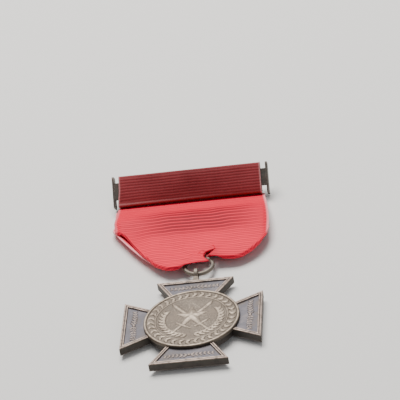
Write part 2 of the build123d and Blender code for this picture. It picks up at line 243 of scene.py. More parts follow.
def dress(tree, shader, finish, depth, strength):
    """Gives the shader a finish's colour, roughness and fine relief."""
    tree.links.new(finish.outputs["Color"], shader.inputs["Base Color"])
    tree.links.new(finish.outputs["Roughness"], shader.inputs["Roughness"])
    sockets = {"Height": finish.outputs["Height"], "Distance": depth * MM, "Strength": strength}
    tree.links.new(put(tree, "Bump", sockets).outputs["Normal"], shader.inputs["Normal"])


def metal_finish(name, patina, bare, bloom, metallic, rubbed_by=None, bump=0.25):
    """A finish of aged metal. It is rubbed where the mesh says so, or along sharp edges."""
    material, tree, shader = new_material(name)
    place = put(tree, "TexCoord").outputs["Object"]
    if rubbed_by:
        rub, sunk, grime_and_shade = (
            put(tree, "Attribute", attribute_name=label).outputs["Fac"]
            for label in (rubbed_by, "sunk", "grime_and_shade")
        )
    else:
        rounded = put(tree, "Bevel", {"Radius": 0.16 * MM}, samples=6).outputs["Normal"]
        flat = put(tree, "NewGeometry").outputs["Normal"]
        turned = put(tree, "VectorMath", {0: rounded, 1: flat}, operation="DOT_PRODUCT").outputs["Value"]
        rub = ramp(tree, maths(tree, "SUBTRACT", 1.0, turned), 0.01, 0.2)
        sunk = ramp(tree, noise(tree, place, 120), 0.45, 0.7)
        grime_and_shade = ramp(tree, noise(tree, place, 420, 6, 0.65), 0.56, 0.75)
    sockets = {"Place": place, "Rubbed": rub, "Sunk": sunk, "Grime_and_Shade": grime_and_shade}
    sockets.update({"Patina": patina, "Bare": bare, "Bloom": bloom})
    dress(tree, shader, put(tree, "Group", sockets, node_tree=metal), 0.02, bump)
    shader.inputs["Metallic"].default_value = metallic
    return material


bronze = metal_finish(
    "struck_bronze",
    patina=(0.145, 0.118, 0.100, 1),
    bare=(0.39, 0.305, 0.255, 1),
    bloom=(0.110, 0.107, 0.124, 1),
    metallic=0.75,
    rubbed_by="rubbed",
)


# --- Cross ----------------------------------------------------
# Four flared arms round a hub, struck in one piece. Each arm has a raised border with mitred
# corners, and a sunk field with a sprig of laurel on it. The back has a lower border.

def smooth_step(value):
    """0 below 0, 1 above 1, and smooth between."""
    value = np.clip(value, 0, 1)
    return value * value * (3 - 2 * value)


def leaf(x, y, root, heading, length, width, height):
    """Height of one pointed leaf with a groove down its middle."""
    along = (x - root[0]) * math.cos(heading) + (y - root[1]) * math.sin(heading)
    aside = (y - root[1]) * math.cos(heading) - (x - root[0]) * math.sin(heading)
    share = np.clip(along / length, 0, 1)
    half = width / 2 * np.sin(math.pi * share**0.75)
    inside = np.clip(1 - (aside / np.maximum(half, 1e-6)) ** 2, 0, 1)
    groove = 1 - 0.45 * np.exp(-((aside / (0.12 * width)) ** 2))
    return height * np.sqrt(inside) * groove * (half > 1e-3)


def berry(x, y, middle, radius, height):
    """Height of one round berry."""
    inside = 1 - ((x - middle[0]) ** 2 + (y - middle[1]) ** 2) / radius**2
    return height * np.sqrt(np.clip(inside, 0, 1))


def new_piece(name, points, faces, material, numbers=None):
    """A mesh object from points in millimetres, with named numbers on its points."""
    mesh = bpy.data.meshes.new(name)
    mesh.from_pydata((np.asarray(points) * MM).tolist(), [], faces)
    for label, values in (numbers or {}).items():
        attribute = mesh.attributes.new(label, "FLOAT", "POINT")
        attribute.data.foreach_set("value", np.asarray(values, np.float32))
    mesh.materials.append(material)
    mesh.shade_smooth()
    piece = bpy.data.objects.new(name, mesh)
    bpy.context.scene.collection.objects.link(piece)
    return piece


def grid_faces(rows, columns, start=0, closed=False, flip=False):
    """The faces of a grid of points, numbered row by row."""
    found = []
    for row in range(rows - 1):
        for column in range(columns if closed else columns - 1):
            beside = (column + 1) % columns
            corners = (
                start + row * columns + column,
                start + row * columns + beside,
                start + (row + 1) * columns + beside,
                start + (row + 1) * columns + column,
            )
            found.append(corners[::-1] if flip else corners)
    return found


cross_low, cross_high = (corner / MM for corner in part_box("cross"))
obverse_low, obverse_high = (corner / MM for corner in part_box("obverse_disc"))
half_span = cross_high.x
arm_slope = 0.56
arm_start = 9.0
border = 0.95
border_slope = 0.14
back_sink = 0.22
field_z = obverse_low.z
border_rise = cross_high.z - field_z
border_groove = 0.47
sprig_height = 0.2
edge_steps = np.array([
    0, 0.03, 0.08, 0.15, 0.25, 0.34, 0.40, 0.46, 0.52, 0.58,
    0.66, 0.78, 0.83, 0.87, 0.91, 0.95, 1.0, 1.05, 1.12,
])
round_over = 0.15
cos_flare = 1 / math.hypot(1, arm_slope)


def on_border(inward):
    """1 on the arm's border and 0 on its field, at a distance in from the edge."""
    return 1 - smooth_step((inward - border + border_slope) / border_slope)


def edge_drop(inward):
    """How far the face falls away where its edge is rounded over."""
    over = np.clip(1 - inward / round_over, 0, 1)
    return round_over * (1 - np.sqrt(np.clip(1 - over**2, 0, 1)))


def border_profile(inward):
    """Height of the arm's border above its field, at a distance in from the edge."""
    groove = 0.13 * np.exp(-(((inward - border_groove) / 0.1) ** 2))
    return border_rise * on_border(inward) - groove - edge_drop(inward)


def arm_sprig(x, y):
    """Height of the laurel sprig across an arm's field."""
    height = np.zeros_like(x)
    stem_y = 13.3
    for side in (-1, 1):
        for step in range(6):
            root = (side * (0.45 + 0.92 * step), stem_y + 0.1 * math.cos(step))
            for lift in (-1, 1):
                heading = lift * 0.75 if side > 0 else math.pi - lift * 0.75
                size = 1.25 - 0.07 * step
                height = np.maximum(height, leaf(x, y, root, heading, size, 0.52, sprig_height))
        stem = 0.12 * np.exp(-(((y - stem_y) / 0.1) ** 2)) * (np.abs(x) < 5.4)
        height = np.maximum(height, stem)
    return np.maximum(height, berry(x, y, (0, stem_y), 0.4, 0.26))


def edge_lines(count):
    """Where grid lines cross a strip that is 2 wide: (share of the half width, distance in)."""
    inner = np.linspace(-1, 1, count)
    zeros = np.zeros_like(edge_steps[:-1])
    side = np.concatenate([zeros - 1, inner, zeros + 1])
    inset = np.concatenate([edge_steps[:-1], np.full(count, edge_steps[-1]), edge_steps[-2::-1]])
    return side, inset


def cross_mesh():
    """Points, faces and numbers of the whole cross."""
    side, inset = edge_lines(110)
    field_lines = np.linspace(arm_start, half_span - edge_steps[-1], 62)
    y_lines = np.concatenate([field_lines, half_span - edge_steps[-2::-1]])
    y = np.repeat(y_lines[:, None], len(side), 1)
    x = side * (arm_slope * y - inset / cos_flare)
    inward = np.minimum(half_span - y, (arm_slope * y - np.abs(x)) * cos_flare)
    relief = np.where(inward > border, arm_sprig(x, y), 0)
    top = field_z + border_profile(inward) + relief
    under = cross_low.z + back_sink * smooth_step((inward - border) / 0.2)
    under = under + edge_drop(inward)
    rows, columns = x.shape
    count = rows * columns
    proud = np.maximum(on_border(inward), 0.6 * relief / sprig_height)
    proud = proud * (1 - 0.7 * np.exp(-(((inward - border_groove) / 0.12) ** 2)))
    edge = [row * columns for row in range(rows)]
    edge += [(rows - 1) * columns + column for column in range(1, columns)]
    edge += [row * columns + columns - 1 for row in range(rows - 2, -1, -1)]
    edge_z = np.stack([top.ravel()[edge] - 0.1, top.ravel()[edge] * 0.5, under.ravel()[edge] + 0.1])
    points, faces, rub, sunk, grime_and_shade = [], [], [], [], []
    for turn in range(4):
        c, s = (round(f(turn * math.pi / 2)) for f in (math.cos, math.sin))
        start = sum(len(p) for p in points)
        plan = (c * x - s * y, s * x + c * y)
        for z in (top, under):
            points.append(np.stack([*plan, z], -1).reshape(-1, 3))
        faces += grid_faces(rows, columns, start)
        faces += grid_faces(rows, columns, start + count, flip=True)
        wall = [np.repeat(line.ravel()[edge][None], 3, 0) for line in plan]
        points.append(np.stack([*wall, edge_z], -1).reshape(-1, 3))
        rings = [[start + corner for corner in edge]]
        for row in range(3):
            first = start + 2 * count + row * len(edge)
            rings.append(list(range(first, first + len(edge))))
        rings.append([start + count + corner for corner in edge])
        for ring, below in zip(rings, rings[1:]):
            for step in range(len(edge) - 1):
                faces.append((ring[step], ring[step + 1], below[step + 1], below[step]))
        root = [ring[0] for ring in rings] + [start + count + column for column in range(1, columns - 1)]
        root += [ring[-1] for ring in rings[::-1]]
        root += [start + column for column in range(columns - 2, 0, -1)]
        faces.append(tuple(root))
        rub += [proud.ravel() * 0.9, np.full(count, 0.35), np.full(3 * len(edge), 0.3)]
        sunk += [1 - proud.ravel(), np.full(count, 0.4), np.full(3 * len(edge), 0.5)]
        # Painted shade: the side walls are darkened nearly to black, as if in shadow.
        grime_and_shade += [np.zeros(2 * count), np.full(3 * len(edge), 0.85)]
    hub_steps = 96
    start = sum(len(p) for p in points)
    turns = np.arange(hub_steps) * 2 * math.pi / hub_steps
    radius = obverse_high.x - 0.4
    for z in (field_z - 0.02, cross_low.z - 0.01):
        points.append(np.stack([radius * np.cos(turns), radius * np.sin(turns), np.full(hub_steps, z)], -1))
    faces += grid_faces(2, hub_steps, start, closed=True, flip=True)
    faces.append(tuple(range(start, start + hub_steps)))
    faces.append(tuple(range(start + 2 * hub_steps - 1, start + hub_steps - 1, -1)))
    rub.append(np.full(2 * hub_steps, 0.2))
    sunk.append(np.full(2 * hub_steps, 0.5))
    # Painted shade on the hub's wall as well, darker at its top.
    grime_and_shade.append(np.repeat([0.9, 0.6], hub_steps))
    numbers = {"rubbed": rub, "sunk": sunk, "grime_and_shade": grime_and_shade}
    return np.concatenate(points), faces, {label: np.concatenate(parts) for label, parts in numbers.items()}


points, faces, numbers = cross_mesh()
cross = new_piece("cross_arms", points, faces, bronze, numbers)
cross.data.set_sharp_from_angle(angle=math.radians(38))
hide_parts("cross")
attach(cross, "cross")


# --- Disc on the front ----------------------------------------
# A struck disc, applied over the hub. It has a rounded rim, a wreath of paired leaves between
# two circles, and a star on crossed swords above two laurel branches.

def coin_mesh(radius, base, rise, relief, rings=118, steps=560, upward=1):
    """A disc with relief on one face: points, faces, and heights above the field."""
    corner = 0.1
    bends = np.linspace(0, math.pi / 2, 4)[1:]
    face_radii = np.linspace(0.08, radius - corner, rings)
    radii = np.concatenate([face_radii, radius - corner + corner * np.sin(bends)])
    turns = np.arange(steps) * 2 * math.pi / steps
    x = radii[:, None] * np.cos(turns)
    y = radii[:, None] * np.sin(turns)
    lift = relief(x, y, np.hypot(x, y))
    drop = np.concatenate([np.zeros(rings), corner * (1 - np.cos(bends))])
    z = base + upward * (rise + lift - drop[:, None])
    wall = np.stack([x[-1], y[-1], np.full(steps, base)], -1)
    points = np.concatenate([np.stack([x, y, z], -1).reshape(-1, 3), wall])
    faces = grid_faces(len(radii) + 1, steps, closed=True, flip=upward > 0)
    faces.append(tuple(range(steps)) if upward > 0 else tuple(range(steps))[::-1])
    last = len(points)
    faces.append(tuple(range(last - steps, last))[::-1] if upward > 0 else tuple(range(last - steps, last)))
    return points, faces, np.concatenate([lift.ravel(), np.zeros(steps)])


def ridge(radius, middle, half, height):
    """Height of a rounded ring."""
    return height * np.sqrt(np.clip(1 - ((radius - middle) / half) ** 2, 0, 1))


def star_height(x, y, middle, size, waist, height):
    """Height of a five-pointed star with a ridge down each point."""
    turn = np.arctan2(x - middle[0], y - middle[1])
    radius = np.hypot(x - middle[0], y - middle[1])
    sector = math.pi / 5
    fold = np.abs((turn + sector) % (2 * sector) - sector)
    edge = size * waist * math.sin(sector) / (
        waist * np.sin(sector - fold) + size * np.sin(fold)
    )
    return height * np.clip(1.35 * (1 - radius / edge), 0, 1) ** 0.7


def bar_height(x, y, start, end, half, height):
    """Height of a straight bar with a ridge down its middle."""
    dx, dy = end[0] - start[0], end[1] - start[1]
    length = math.hypot(dx, dy)
    along = ((x - start[0]) * dx + (y - start[1]) * dy) / length
    aside = np.abs((y - start[1]) * dx - (x - start[0]) * dy) / length
    taper = np.clip((length - along) / 1.2, 0.05, 1)
    return height * np.clip(1 - aside / (half * taper), 0, 1) ** 0.6 * (along > 0) * (along < length)


def sword_height(x, y, side):
    """Height of one sword, point up, that leans to a side."""
    def at(along, aside):
        lean = math.radians(38) * side
        spot_x = along * math.sin(lean) + aside * math.cos(lean)
        return spot_x, along * math.cos(lean) - aside * math.sin(lean) + 0.2

    height = bar_height(x, y, at(-3.6, 0), at(7.7, 0), 0.58, 0.26)
    for begin, end, half in ((at(-3.4, -1.6), at(-3.4, 2.8), 0.42), (at(-6.2, 0), at(-2.2, 0), 0.46)):
        height = np.maximum(height, bar_height(x, y, begin, end, half, 0.26))
    return np.maximum(height, berry(x, y, at(-6.3, 0), 0.55, 0.28))


def laurel(x, y, side, pairs, pitch, radius, leaf_size):
    """Height of one laurel branch, which curves up a side of the disc in pairs of leaves."""
    height = np.zeros_like(x)
    for pair in range(pairs):
        turn = -math.pi / 2 + side * (0.13 + pair * pitch)
        root = (radius * math.cos(turn), radius * math.sin(turn))
        for lift in (-0.55, 0.55):
            heading = turn + side * (math.pi / 2 + lift)
            height = np.maximum(height, leaf(x, y, root, heading, *leaf_size))
    return height


chance = random.Random(7)


def front_relief(x, y, radius):
    """Height of the front's design above the disc's field."""
    rim = obverse_high.x - 0.33
    height = ridge(radius, rim, 0.34, 0.3) + 0.1 * (1 - (radius / obverse_high.x) ** 2)
    design = ridge(radius, 8.3, 0.2, 0.18)
    pairs = 34
    for pair in range(pairs):
        turn = pair * 2 * math.pi / pairs
        root = (9.3 * math.cos(turn), 9.3 * math.sin(turn))
        for lift in (-0.62, 0.62):
            design = np.maximum(design, leaf(x, y, root, turn + math.pi / 2 + lift, 1.5, 0.72, 0.28))
        berries = (9.35 * math.cos(turn + 0.06), 9.35 * math.sin(turn + 0.06))
        design = np.maximum(design, berry(x, y, berries, 0.22, 0.28))
    for side in (-1, 1):
        design = np.maximum(design, sword_height(x, y, side))
        design = np.maximum(design, laurel(x, y, side, 12, 0.165, 6.7, (1.7, 0.78, 0.26)))
    design = np.maximum(design, star_height(x, y, (0, 0.9), 4.3, 1.8, 0.42))
    ground = np.zeros_like(x)
    for _ in range(620):
        far, turn = 7.9 * math.sqrt(chance.random()), chance.uniform(0, 2 * math.pi)
        mark = berry(x, y, (far * math.cos(turn), far * math.sin(turn)), chance.uniform(0.13, 0.22), 0.06)
        ground = np.maximum(ground, mark)
    return height + np.maximum(design, ground)


disc_rise = obverse_high.z - obverse_low.z - 0.3
points, faces, lift = coin_mesh(obverse_high.x, field_z, disc_rise, front_relief)
shown = np.clip((lift - 0.08) / 0.2, 0, 1)
disc_bronze = metal_finish(
    "struck_bronze_disc",
    patina=(0.18, 0.143, 0.112, 1),
    bare=(0.46, 0.38, 0.30, 1),
    bloom=(0.126, 0.104, 0.084, 1),
    metallic=0.75,
    rubbed_by="rubbed",
)
front_disc = new_piece("front_disc", points, faces, disc_bronze, {"rubbed": 0.6 * shown, "sunk": 1 - shown})
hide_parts("obverse_disc")
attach(front_disc, "cross")


# --- Disc on the back -----------------------------------------
# The same bronze, with a plain raised rim, a beaded circle, and a blank plate for a name. The
# cross lies on its rim.

def back_relief(x, y, radius):
    """Height of the back's design above its field."""
    height = ridge(radius, reverse_high.x - 0.45, 0.45, 0.22)
    beads = 60
    for bead in range(beads):
        turn = bead * 2 * math.pi / beads
        height = np.maximum(height, berry(x, y, (8.1 * math.cos(turn), 8.1 * math.sin(turn)), 0.3, 0.16))
    for side in (-1, 1):
        height = np.maximum(height, laurel(x, y, side, 13, 0.19, 6.3, (1.4, 0.55, 0.15)))
    plate = np.maximum(np.abs(x) - 3.9, np.abs(y) - 1.1)
    return np.maximum(height, 0.16 * (1 - smooth_step(plate / 0.12 + 0.5)))


reverse_low, reverse_high = (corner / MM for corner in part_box("reverse_disc"))
back_rise = reverse_high.z - reverse_low.z - 0.22
points, faces, lift = coin_mesh(
    reverse_high.x, reverse_high.z, back_rise, back_relief, rings=90, steps=420, upward=-1
)
shown = np.clip(lift / 0.16, 0, 1)
back_disc = new_piece("back_disc", points, faces, disc_bronze, {"rubbed": 0.6 * shown, "sunk": 1 - shown})
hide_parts("reverse_disc")
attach(back_disc, "cross")


# --- Loop and ring --------------------------------------------
# The loop is brazed to the top arm. The ring is drawn wire, bent round and butted. Both keep
# their exact shapes and get a dull wire finish.

def soften(node, width):
    """Joins a CAD node's split edges and rounds the sharp ones."""
    sharp = math.radians(32)
    weld = node.modifiers.new("weld", "WELD")
    weld.merge_threshold = 0.0005 * MM
    bevel = node.modifiers.new("rounding", "BEVEL")
    bevel.width = width * MM
    bevel.segments = 2
    bevel.limit_method = "ANGLE"
    bevel.angle_limit = sharp
    bevel.use_clamp_overlap = True
    bevel.harden_normals = True
    node.data.shade_smooth()


def finish_node(name, material, width=None):
    """Gives a CAD node its finish, and rounds its edges if a width is given."""
    node = nodes[name]
    node.data.materials.clear()
    node.data.materials.append(material)
    if width:
        soften(node, width)


wire_bronze = metal_finish(
    "drawn_wire",
    patina=(0.19, 0.16, 0.13, 1),
    bare=(0.55, 0.46, 0.40, 1),
    bloom=(0.15, 0.15, 0.145, 1),
    metallic=0.85,
)
finish_node("jump_ring", wire_bronze)
finish_node("suspension_eyelet", wire_bronze)


# --- Brooch metal ---------------------------------------------
# Thin sheet brass, cut, folded and soldered, and now nearly black. The end plates and the core's
# tongues show beside the ribbon. The rear bar, hinge and catch are of the same sheet.

sheet_brass = metal_finish(
    "tarnished_sheet",
    patina=(0.10, 0.082, 0.07, 1),
    bare=(0.46, 0.40, 0.35, 1),
    bloom=(0.095, 0.10, 0.09, 1),
    metallic=0.8,
)
finish_node("brooch_frame", sheet_brass, 0.07)
finish_node("rear_bar", sheet_brass, 0.06)
finish_node("hinge_bracket", sheet_brass, 0.05)
finish_node("catch_barrel", sheet_brass, 0.04)
finish_node("catch_roller", sheet_brass, 0.04)


# --- Pin and rivet --------------------------------------------
# Hard plated wire, flattened and drilled at one end and drawn to a point at the other. It turns
# on a rivet with two domed heads.

plated_wire = metal_finish(
    "plated_wire",
    patina=(0.26, 0.25, 0.23, 1),
    bare=(0.58, 0.56, 0.53, 1),
    bloom=(0.15, 0.135, 0.115, 1),
    metallic=0.95,
    bump=0.12,
)
finish_node("pin_stem", plated_wire, 0.04)
finish_node("hinge_rivet", plated_wire, 0.06)


# --- Ribbed silk ----------------------------------------------
# The ribbon is one strip of ribbed silk. Thick weft cords make ribs across it, the fine warp
# covers them, and a firm corded selvage ends it at each side. The grooves between its ribs get
# painted shade. The strip on the brooch is a darker copy of the silk, painted shade, and the
# hanging strip is painted paler where it faces up and darker across its slack.

weave, given, made = new_group(
    "silk_weave",
    {
        "Along": "Float", "Across": "Float", "Rib": "Float", "Selvage_And_Highlight": "Float", "Paleness": "Float",
        "Soil_And_Shade": "Float", "Deep": "Color", "Pale_Tone": "Color", "Groove_Shade": "Color", "Edge": "Color",
    },
    {"Color": "Color", "Roughness": "Float", "Height": "Float"},
)


def stretched(tree, place, factors):
    """A place multiplied, axis by axis."""
    return put(tree, "VectorMath", {0: place, 1: factors}, operation="MULTIPLY").outputs[0]


sockets = {"X": given["Across"], "Y": given["Along"]}
cloth_place = put(weave, "CombineXYZ", sockets).outputs[0]
streaks = noise(weave, stretched(weave, cloth_place, (9.0, 0.35, 1.0)), 1.0, 3)
slubs = noise(weave, stretched(weave, cloth_place, (0.5, 6.0, 1.0)), 1.0, 3)
patches = noise(weave, cloth_place, 0.16, 4)
fuzz = noise(weave, cloth_place, 14, 4, 0.7)
warp_turns = maths(weave, "MULTIPLY", given["Across"], 2 * math.pi / 0.16)
warp = put(weave, "Math", {0: warp_turns}, operation="SINE").outputs[0]
pale_share = maths(weave, "MULTIPLY_ADD", patches, 0.6, given["Paleness"])
pale_share = maths(weave, "MULTIPLY_ADD", streaks, 0.35, pale_share)
pale_share = maths(weave, "MULTIPLY_ADD", slubs, 0.35, pale_share)
pale_share = maths(weave, "ADD", pale_share, -0.65, clamp=True)
tone = mixed(weave, pale_share, given["Deep"], given["Pale_Tone"])
# Painted shade: the grooves between the ribs are darkened toward the groove colour.
shade = mixed(weave, given["Rib"], given["Groove_Shade"], (1.05, 1.05, 1.05, 1))
tone = mixed(weave, 1.0, tone, shade, "MULTIPLY")
pale_edge = maths(weave, "MULTIPLY", given["Selvage_And_Highlight"], 0.85)
tone = mixed(weave, pale_edge, tone, given["Edge"])
# This darkening is painted shadow under the band, painted shade between the ribs of the slack, and darker
# cloth by the tear, on the tongue and on the frayed ends.
soil_and_shade_tone = mixed(weave, given["Soil_And_Shade"], (1, 1, 1, 1), (0.22, 0.16, 0.16, 1))
tone = mixed(weave, 1.0, tone, soil_and_shade_tone, "MULTIPLY")
weave.links.new(tone, made["Color"])
weave.links.new(maths(weave, "MULTIPLY_ADD", fuzz, 0.25, 0.48), made["Roughness"])
threads = maths(weave, "MULTIPLY_ADD", warp, 0.35, maths(weave, "MULTIPLY", fuzz, 0.9))
weave.links.new(threads, made["Height"])


def silk_finish(name, deep, pale_tone, groove, edge):
    """A finish of ribbed silk, woven along and across the strip that it is on."""
    material, tree, shader = new_material(name)
    sockets = {"Deep": deep, "Pale_Tone": pale_tone, "Groove_Shade": groove, "Edge": edge}
    for socket in ("Along", "Across", "Rib", "Selvage_And_Highlight", "Paleness", "Soil_And_Shade"):
        sockets[socket] = put(tree, "Attribute", attribute_name=socket.lower()).outputs["Fac"]
    dress(tree, shader, put(tree, "Group", sockets, node_tree=weave), 0.03, 0.35)
    shader.inputs["Sheen Weight"].default_value = 0.05
    shader.inputs["Sheen Roughness"].default_value = 0.4
    shader.inputs["Sheen Tint"].default_value = (1.0, 0.45, 0.45, 1)
    shader.inputs["Specular IOR Level"].default_value = 0.15
    return material


rib_pitch = 0.7
rib_height = 0.075
rib_samples = 7
ribbon_thick = 0.3
cord_height = 0.09


def strip_mesh(
    base, along, across, width, paleness, soil_and_shade=0.0, pairing=0.1, cord_width=0.45, slit=None, flip=False
):
    """A closed ribbed strip round its middle surface: points, faces and numbers.

    base is a grid of points, row by row along the ribbon. along and across say where each lies
    on the flat ribbon, which is width wide. pairing makes every second rib lower. A slit
    (column, row) opens the strip between two columns that lie together, from that row on.
    """
    down = np.gradient(base, axis=0)
    over = np.gradient(base, axis=1)
    normal = np.cross(down, over) if not flip else np.cross(over, down)
    if slit:
        normal[:, slit[0]] = normal[:, slit[0] + 1] = normal[:, slit[0]] + normal[:, slit[0] + 1]
    normal /= np.maximum(np.linalg.norm(normal, axis=-1, keepdims=True), 1e-9)
    from_edge = np.minimum(across, width - across)
    cord = 1 - smooth_step(from_edge / cord_width)
    wander = 0.04 * np.sin(across / 2.3 + along * 0.4) + 0.02 * np.sin(across * 1.9 - along * 0.7)
    phase = math.pi * (along / rib_pitch + wander)
    rib = np.abs(np.cos(phase)) ** 0.8 * (1 - pairing * (0.5 - 0.5 * np.cos(phase)))
    lift = ribbon_thick / 2 + rib_height * rib * (1 - cord) + cord_height * cord
    rows, columns = along.shape
    count = rows * columns
    upper = (base + normal * lift[..., None]).reshape(-1, 3)
    lower = (base - normal * lift[..., None]).reshape(-1, 3)
    faces = grid_faces(rows, columns, 0, flip=not flip) + grid_faces(rows, columns, count, flip=flip)
    last = columns - 1
    rim = [(0, column) for column in range(columns)] + [(row, last) for row in range(1, rows)]
    if slit:
        column, top_row = slit
        rim += [(rows - 1, spot) for spot in range(last - 1, column, -1)]
        rim += [(row, column + 1) for row in range(rows - 2, top_row - 1, -1)]
        rim += [(row, column) for row in range(top_row, rows)]
        rim += [(rows - 1, spot) for spot in range(column - 1, -1, -1)]
        gap = {row * columns + column for row in range(rows)}
        faces = [face for face in faces if not (min(face) % count in gap and (min(face) + 1) in face)]
    else:
        rim += [(rows - 1, spot) for spot in range(last - 1, -1, -1)]
    rim += [(row, 0) for row in range(rows - 2, 0, -1)]
    rim = [row * columns + column for row, column in rim]
    for here, there in zip(rim, rim[1:] + rim[:1]):
        side = (here, there, there + count, here + count)
        faces.append(side[::-1] if flip else side)
    numbers = {"along": along, "across": across, "rib": rib, "selvage_and_highlight": cord}
    numbers["paleness"], numbers["soil_and_shade"] = paleness + 0 * along, soil_and_shade + 0 * along
    return np.concatenate([upper, lower]), faces, {k: np.tile(v.ravel(), 2) for k, v in numbers.items()}


# --- Ribbon on the brooch -------------------------------------
# The top of the ribbon goes round the core bar: up the front, over, down the back and under, and
# its end lies on the back, where it is sewn. Its front is a little crowned and sags at the left.

def joint(name):
    """What the frame says of one joint."""
    return next(entry for entry in frame["joints"] if entry["name"] == name)


up_brooch = Vector(joint("pin_swing")["axis"])
out_brooch = Vector((1, 0, 0)).cross(up_brooch)
frame_points = [v.co / MM for v in nodes["brooch_frame"].data.vertices]
foot_height = min(p.dot(up_brooch) for p in frame_points)
front_depth = max(p.dot(out_brooch) for p in frame_points) - 0.45
wrap_low, wrap_high = (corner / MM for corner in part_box("ribbon_wrap"))


def on_brooch(x, height, depth):
    """Points from distances along the brooch, up its front and out of it."""
    spot = np.stack([x, np.zeros_like(x), np.zeros_like(x)], -1)
    up = np.array(up_brooch) * (foot_height + height)[..., None]
    out = np.array(out_brooch) * (front_depth + depth)[..., None]
    return spot + up + out


def smooth_path(corners, spacing):
    """Points a set distance apart on a smooth curve near the corners."""
    corners = np.array(corners, float)
    for _ in range(4):
        near, far = corners[:-1], corners[1:]
        cut = np.stack([0.75 * near + 0.25 * far, 0.25 * near + 0.75 * far], 1)
        corners = np.concatenate([corners[:1], cut.reshape(-1, corners.shape[1]), corners[-1:]])
    lengths = np.concatenate([[0], np.cumsum(np.linalg.norm(np.diff(corners, axis=0), axis=1))])
    marks = np.linspace(0, lengths[-1], max(3, int(round(lengths[-1] / spacing)) + 1))
    return np.stack([np.interp(marks, lengths, column) for column in corners.T], -1), marks


ribbon_width = wrap_high.x - wrap_low.x
wrap_columns = 84
wrap_path = [
    (3.0, -1.16), (1.6, -1.18), (0.45, -1.15), (0.22, -0.7), (0.24, 0.0), (0.22, 0.36), (0.5, 0.52),
    (2.2, 0.56), (5.6, 0.56), (7.1, 0.5), (7.5, 0.3), (7.56, -0.1), (7.5, -0.5), (7.1, -0.68),
    (4.0, -0.7), (1.0, -0.7),
]
path, marks = smooth_path(wrap_path, rib_pitch / rib_samples)
share = np.linspace(0, 1, wrap_columns)
height = np.repeat(path[:, :1], wrap_columns, 1)
depth = np.repeat(path[:, 1:], wrap_columns, 1)
in_front = smooth_step((depth + 0.5) / 0.9)
low_down = in_front * smooth_step((4.5 - height) / 4.5)
x = wrap_low.x + share * ribbon_width - 0.5 * low_down * smooth_step((0.3 - share) / 0.3)
crown = 0.16 * np.sin(math.pi * height / 7.6) + 0.05 * np.sin(share * 9) * np.sin(height * 0.9)
depth = depth + smooth_step((depth - 0.3) / 0.2) * crown
height = height + low_down * (0.12 * np.sin(math.pi * share) - 0.12 * smooth_step((0.35 - share) / 0.35))
along = np.repeat(marks[:, None], wrap_columns, 1)
across = np.repeat((share * ribbon_width)[None], len(path), 0)
paleness = 0.36 + 0.14 * np.cos(2 * math.pi * share) - 0.06 * share + 0 * height
# A darker copy of the hanging silk, with weaker groove shade: painted shade on the strip round the brooch,
# which leans toward the camera.
shaded_band_silk = silk_finish(
    "ribbed_silk_on_brooch_painted_shade",
    deep=(0.155, 0.012, 0.015, 1),
    pale_tone=(0.33, 0.050, 0.056, 1),
    groove=(0.70, 0.66, 0.66, 1),
    edge=(0.66, 0.30, 0.30, 1),
)
base = on_brooch(x, height, depth)
points, faces, numbers = strip_mesh(base, along, across, ribbon_width, paleness, flip=True)
# A painted highlight along the lower fold of the band's front, in the pale selvage colour.
fold_highlight = 0.75 * np.exp(-(((height - 0.62) / 0.22) ** 2)) * in_front * (1 - share) ** 2
numbers["selvage_and_highlight"] = np.maximum(numbers["selvage_and_highlight"], np.tile(fold_highlight.ravel(), 2))
band = new_piece("ribbon_band", points, faces, shaded_band_silk, numbers)
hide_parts("ribbon_wrap", "ribbon_tail")
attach(band, "brooch")


# --- Stitches -------------------------------------------------
# Nine long stitches in twisted silk thread, in one row. They are sewn through the ribbon's cut
# end and hold it down on the back of the brooch.

stitch_low, stitch_high = (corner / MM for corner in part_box("wrap_stitches"))
stitches, stitch_length = 9, 1.8
thread_radius = 0.16
seam_height, seam_depth = 1.5, -1.30
stitch_run = stitch_high.x - stitch_low.x - stitch_length
steps, sides = 22, 8
points, faces = [], []
for stitch in range(stitches):
    middle = stitch_low.x + stitch_length / 2 + stitch * stitch_run / (stitches - 1)
    share = np.linspace(-0.5, 0.5, steps)[:, None]
    bow = np.sqrt(np.cos(math.pi * share))
    turn = np.arange(sides)[None] * 2 * math.pi / sides
    thick = thread_radius * (0.86 + 0.14 * np.cos(2 * (turn - share * 14))) * (0.6 + 0.4 * bow)
    length = middle + share * stitch_length + 0 * thick
    height = seam_height + 0.12 * math.sin(stitch * 2.1) + share * 0.2 * math.cos(stitch * 1.3)
    height = height + thick * np.cos(turn)
    depth = thick * np.sin(turn) + seam_depth - thread_radius * bow
    start = stitch * steps * sides
    points.append(on_brooch(length, height, depth).reshape(-1, 3))
    faces += grid_faces(steps, sides, start, closed=True)
    end = start + (steps - 1) * sides
    faces += [tuple(range(start, start + sides)), tuple(range(end + sides - 1, end - 1, -1))]
thread, tree, shader = new_material("twisted_thread")
place = put(tree, "TexCoord").outputs["Object"]
tone = mixed(tree, noise(tree, place, 3000, 3), (0.13, 0.015, 0.02, 1), (0.30, 0.05, 0.06, 1))
tree.links.new(tone, shader.inputs["Base Color"])
shader.inputs["Roughness"].default_value = 0.8
sewing = new_piece("stitches", np.concatenate(points), faces, thread)
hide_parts("wrap_stitches")
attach(sewing, "brooch")


# --- Hanging ribbon, front ------------------------------------
# From under the brooch the ribbon bows up and comes down to the ring. Its sides are folded under
# on a slant, so that two rounded lobes hang past the ring, and it is torn beside the ring.

bend = [value / MM for value in joint("ribbon_swing")["pos_m"]]
ring_low, ring_high = (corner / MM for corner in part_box("jump_ring"))
ring_x, ring_y = (ring_low.x + ring_high.x) / 2, (ring_low.y + ring_high.y) / 2
front_top, rear_top = bend[1] + 0.62, bend[1] - 0.95
tear_x = ring_x + 3.2
tear_top = ring_y + 4.4


